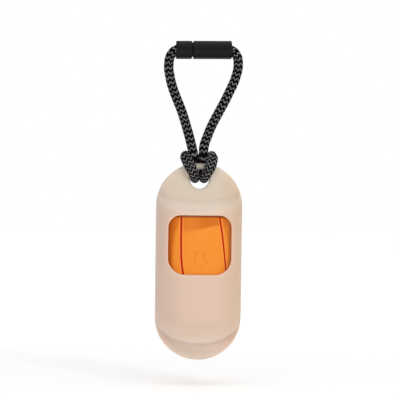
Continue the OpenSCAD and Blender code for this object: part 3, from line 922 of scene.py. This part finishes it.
def turnedPiece(c, name, section, material):
    # closed section of (x, radius) points turned about the clasp's axis, with a fine seam down each side
    seams = [c["seamTurn"] + d + np.array([-1.6, -0.8, 0.8, 1.6]) for d in (0, 180)]
    turns = np.radians(np.sort(np.concatenate([np.arange(0, 360, c["turnStep"])] + seams)))
    away = [np.degrees(np.abs(turns - math.radians(c["seamTurn"] + d))) / c["seamWidth"] for d in (0, 180)]
    inSeam = np.maximum(*[np.exp(-gap ** 2) for gap in away])
    x, r = np.array(section).T
    outer = np.clip((r - c["boreReach"]) / (c["barrel"] - c["edge"] - c["boreReach"]), 0, 1)
    x, r = x[:, None], r[:, None] - outer[:, None] * inSeam * c["seamSink"]
    outer = outer[:, None] + 0 * r
    x = x + outer * c["shift"]
    z = c["axis"] - r * np.sin(turns) + outer * (x * c["level"] - c["drop"])
    vertices = np.stack([x, -r * np.cos(turns), z], axis=2).reshape(-1, 3)
    piece = newPiece(name, vertices, ringFaces(*r.shape, closed=True), material)
    faceOutward(piece.data)
    return piece


def cutAway(piece, cutters):
    for cutter in cutters:
        cut = piece.modifiers.new("cut", "BOOLEAN")
        cut.operation, cut.solver, cut.object = "DIFFERENCE", "EXACT", cutter
    solid = solvedMesh(piece)
    piece.modifiers.clear()
    piece.data = solid
    for cutter in cutters:
        bpy.data.objects.remove(cutter)
    solid.shade_smooth()
    solid.set_sharp_from_angle(angle=math.radians(32))


def boxCutter(low, high):
    corners = [(x, y, z) for x in (low[0], high[0]) for y in (low[1], high[1]) for z in (low[2], high[2])]
    faces = [(0, 1, 3, 2), (4, 6, 7, 5), (0, 4, 5, 1), (2, 3, 7, 6), (0, 2, 6, 4), (1, 5, 7, 3)]
    return newPiece("cutter", corners, faces, None, smooth=False)


def ballCutter(centre, radius):
    work = bmesh.new()
    bmesh.ops.create_uvsphere(work, u_segments=48, v_segments=32, radius=radius)
    bmesh.ops.translate(work, verts=work.verts, vec=centre)
    mesh = bpy.data.meshes.new("cutter")
    work.to_mesh(mesh)
    work.free()
    return addObject("cutter", mesh)


def claspMaterial():
    material, tree, shader, where = newMaterial(
        "claspPlastic", {"Roughness": 0.34, "Specular IOR Level": 0.17})
    worn = noiseNode(tree, where, 260.0, 4.0)
    tone = mixColour(tree, worn, linear(5, 5, 6), linear(10, 10, 11))
    # lighter on the sharp edges
    edges = putNode(tree, "ShaderNodeNewGeometry").outputs["Pointiness"]
    lighterEdges = nodeOut(tree, "ShaderNodeMapRange", {0: edges, 1: 0.53, 2: 0.6})
    tone = tint(tree, tone, lighterEdges, 0.4, linear(44, 44, 45))
    colourBy(tree, shader, tone)
    stretched = nodeOut(tree, "ShaderNodeMapping", {0: where, 3: (120.0, 1500.0, 1500.0)})
    drawn = noiseNode(tree, stretched, 1.0)
    roughenBy(tree, shader, worn, 0.28, 0.42)
    grain = noiseNode(tree, where, 6000.0, 2.0)
    bumpOnto(tree, shader, mathNode(tree, "ADD", grain, drawn), 0.000006, 0.4)
    return material


def buildClasp(c):
    plastic = claspMaterial()
    edge, outside, axis = c["edge"], c["barrel"], c["axis"]
    left, parting, seat, right = c["left"], c["parting"], c["socketLeft"], c["right"]
    bore = c["tongue"] + c["tongueFit"]
    nose = seat + c["tongueLength"]
    bead = nose - c["beadSet"]
    beadEnds = (bead - c["beadRoom"], bead + c["beadWidth"] + c["beadRoom"])
    section = [(seat, bore), (seat, c["endFace"])] + roundCorner(c, seat + edge, -90)
    section += [(x, outside) for x in np.arange(seat + mm, right - 0.8 * mm, mm)]
    section += roundCorner(c, right - edge, 0) + bellMouth(c, right, 1)
    section += [(nose + c["noseRoom"], c["pocket"]), (nose + c["noseRoom"], bore), (beadEnds[1], bore),
                (beadEnds[1], bore + c["beadRoom"]), (beadEnds[0], bore + c["beadRoom"]),
                (beadEnds[0], bore)]
    socket = turnedPiece(c, "socketHalf", section, plastic)
    turn, gate = math.radians(c["gateTurn"]), c["gateRadius"]
    reach = outside + gate - c["gateSink"]
    cutAway(socket, [ballCutter((seat + c["gateRun"], -reach * math.cos(turn),
                                 axis - c["drop"] - reach * math.sin(turn)), gate)])
    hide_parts("clasp_socket")
    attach(socket, "loop")

    tongue, crest, (near, far) = c["tongue"], c["tongue"] + c["beadHeight"], c["beadCrest"]
    section = [(nose, c["pocket"]), (nose, tongue - c["noseEdge"]), (nose - c["noseEdge"], tongue),
               (bead + c["beadWidth"], tongue), (bead + c["beadWidth"] * far, crest),
               (bead + c["beadWidth"] * near, crest), (bead, tongue),
               (parting, tongue), (parting, c["endFace"])] + roundCorner(c, parting - edge, 0)[::-1]
    section += [(x, outside) for x in np.arange(parting - mm, left + 0.8 * mm, -mm)]
    section += roundCorner(c, left + edge, -90)[::-1] + bellMouth(c, left, -1)
    plug = turnedPiece(c, "plugHalf", section, plastic)
    slot, start, end, reach = c["slotWidth"] / 2, parting + c["slotRoot"], nose + mm, 6 * mm
    cutAway(plug, [boxCutter((start, -reach, axis - slot), (end, reach, axis + slot)),
                   boxCutter((start, -slot, axis - reach), (end, slot, axis + reach))])
    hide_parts("clasp_plug")
    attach(plug, "plug")
    print(f"clasp: {len(socket.data.polygons)} and {len(plug.data.polygons)} faces")


buildClasp(claspSettings)

# inner parts: the CAD nodes with their own materials

innerSettings = {
    # nodes, darkest and lightest tone, roughness, and how fine and how deep the grain is
    "sealedNylon": (("socket_cord_end", "plug_cord_end"), (14, 14, 15), (34, 33, 34), 0.3, 700.0, 0.00006),
    "cardboard": (("roll_core",), (164, 134, 98), (196, 168, 130), 0.85, 900.0, 0.00005),
    "packedFilm": (("bag_roll",), (236, 120, 40), (250, 146, 66), 0.45, 300.0, 0.00004),
}


def dressInner(c):
    for name, (nodes, dark, light, roughness, fineness, depth) in c.items():
        material, tree, shader, where = newMaterial(name, {"Roughness": roughness})
        mottled = noiseNode(tree, where, fineness, 5.0, 0.6)
        colourBy(tree, shader, mixColour(tree, mottled, linear(*dark), linear(*light)))
        bumpOnto(tree, shader, mottled, depth, 0.6)
        for node in nodes:
            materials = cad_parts[node].data.materials
            materials.clear()
            materials.append(material)


dressInner(innerSettings)
print("inner parts dressed")

# floor and light

stageSettings = {
    "floor": -0.1607,
    "floorTone": 0.88, "floorReach": 6.0,
    "floorGlow": (0.28, 0.52), "glowRamp": (0.2, 0.8),  # near the object and far away
    "world": 0.55,
    # each lamp's name, place, size and power, and the point it faces
    "lamps": (("key", (0.1, -0.25, 1.0), 1.4, 4.5, (0, 0, -0.08)),
              ("front", (0.40, -0.93, 0.34), 0.12, 1.7, (0, 0, -0.08)),
              ("fill", (-0.5, -0.95, -0.05), 0.5, 1.1, (0, 0, -0.08)),
              ("bounce", (0.0, -0.1, -0.1587), 0.6, 0.3, (0, -0.1, -0.08))),
}


def buildStage(c):
    material, tree, shader, where = newMaterial(
        "paleFloor", {"Base Color": (c["floorTone"],) * 3 + (1,), "Roughness": 0.9})
    ray = putNode(tree, "ShaderNodeLightPath").outputs
    seen = mathNode(tree, "MAXIMUM", ray["Is Camera Ray"],
                    mathNode(tree, "MAXIMUM", ray["Is Glossy Ray"], ray["Is Transmission Ray"]))
    shader.inputs["Emission Color"].default_value = (1, 1, 1, 1)
    away = putNode(tree, "ShaderNodeVectorMath", {0: where}, operation="LENGTH").outputs["Value"]
    (near, far), (start, end) = c["floorGlow"], c["glowRamp"]
    glow = nodeOut(tree, "ShaderNodeMapRange", {0: away, 1: start, 2: end, 3: near, 4: far})
    tree.links.new(mathNode(tree, "MULTIPLY", seen, glow), shader.inputs["Emission Strength"])
    s, level = c["floorReach"], c["floor"]
    floor = newPiece("floor", [(-s, -s, level), (s, -s, level), (s, s, level), (-s, s, level)],
                     [(0, 1, 2, 3)], material, smooth=False)

    world = bpy.data.worlds.new("studio")
    bpy.context.scene.world = world
    world.use_nodes = True
    sky = world.node_tree
    back = sky.nodes["Background"]
    ray = putNode(sky, "ShaderNodeLightPath").outputs
    seen = mathNode(sky, "MAXIMUM", ray["Is Camera Ray"], ray["Is Transmission Ray"])
    back.inputs["Color"].default_value = (1, 1, 1, 1)
    power = mathNode(sky, "ADD", mathNode(sky, "MULTIPLY", seen, 1.0 - c["world"]), c["world"])
    sky.links.new(power, back.inputs["Strength"])

    for name, place, size, watts, aim in c["lamps"]:
        data = bpy.data.lights.new(name, "AREA")
        data.energy, data.shape, data.size = watts, "SQUARE", size
        lamp = addObject(name, data)
        lamp.location = place
        lamp.rotation_euler = (Vector(aim) - Vector(place)).to_track_quat("-Z", "Y").to_euler()
        lamp.visible_camera = lamp.visible_glossy = name != "bounce"


buildStage(stageSettings)
print("stage lit")
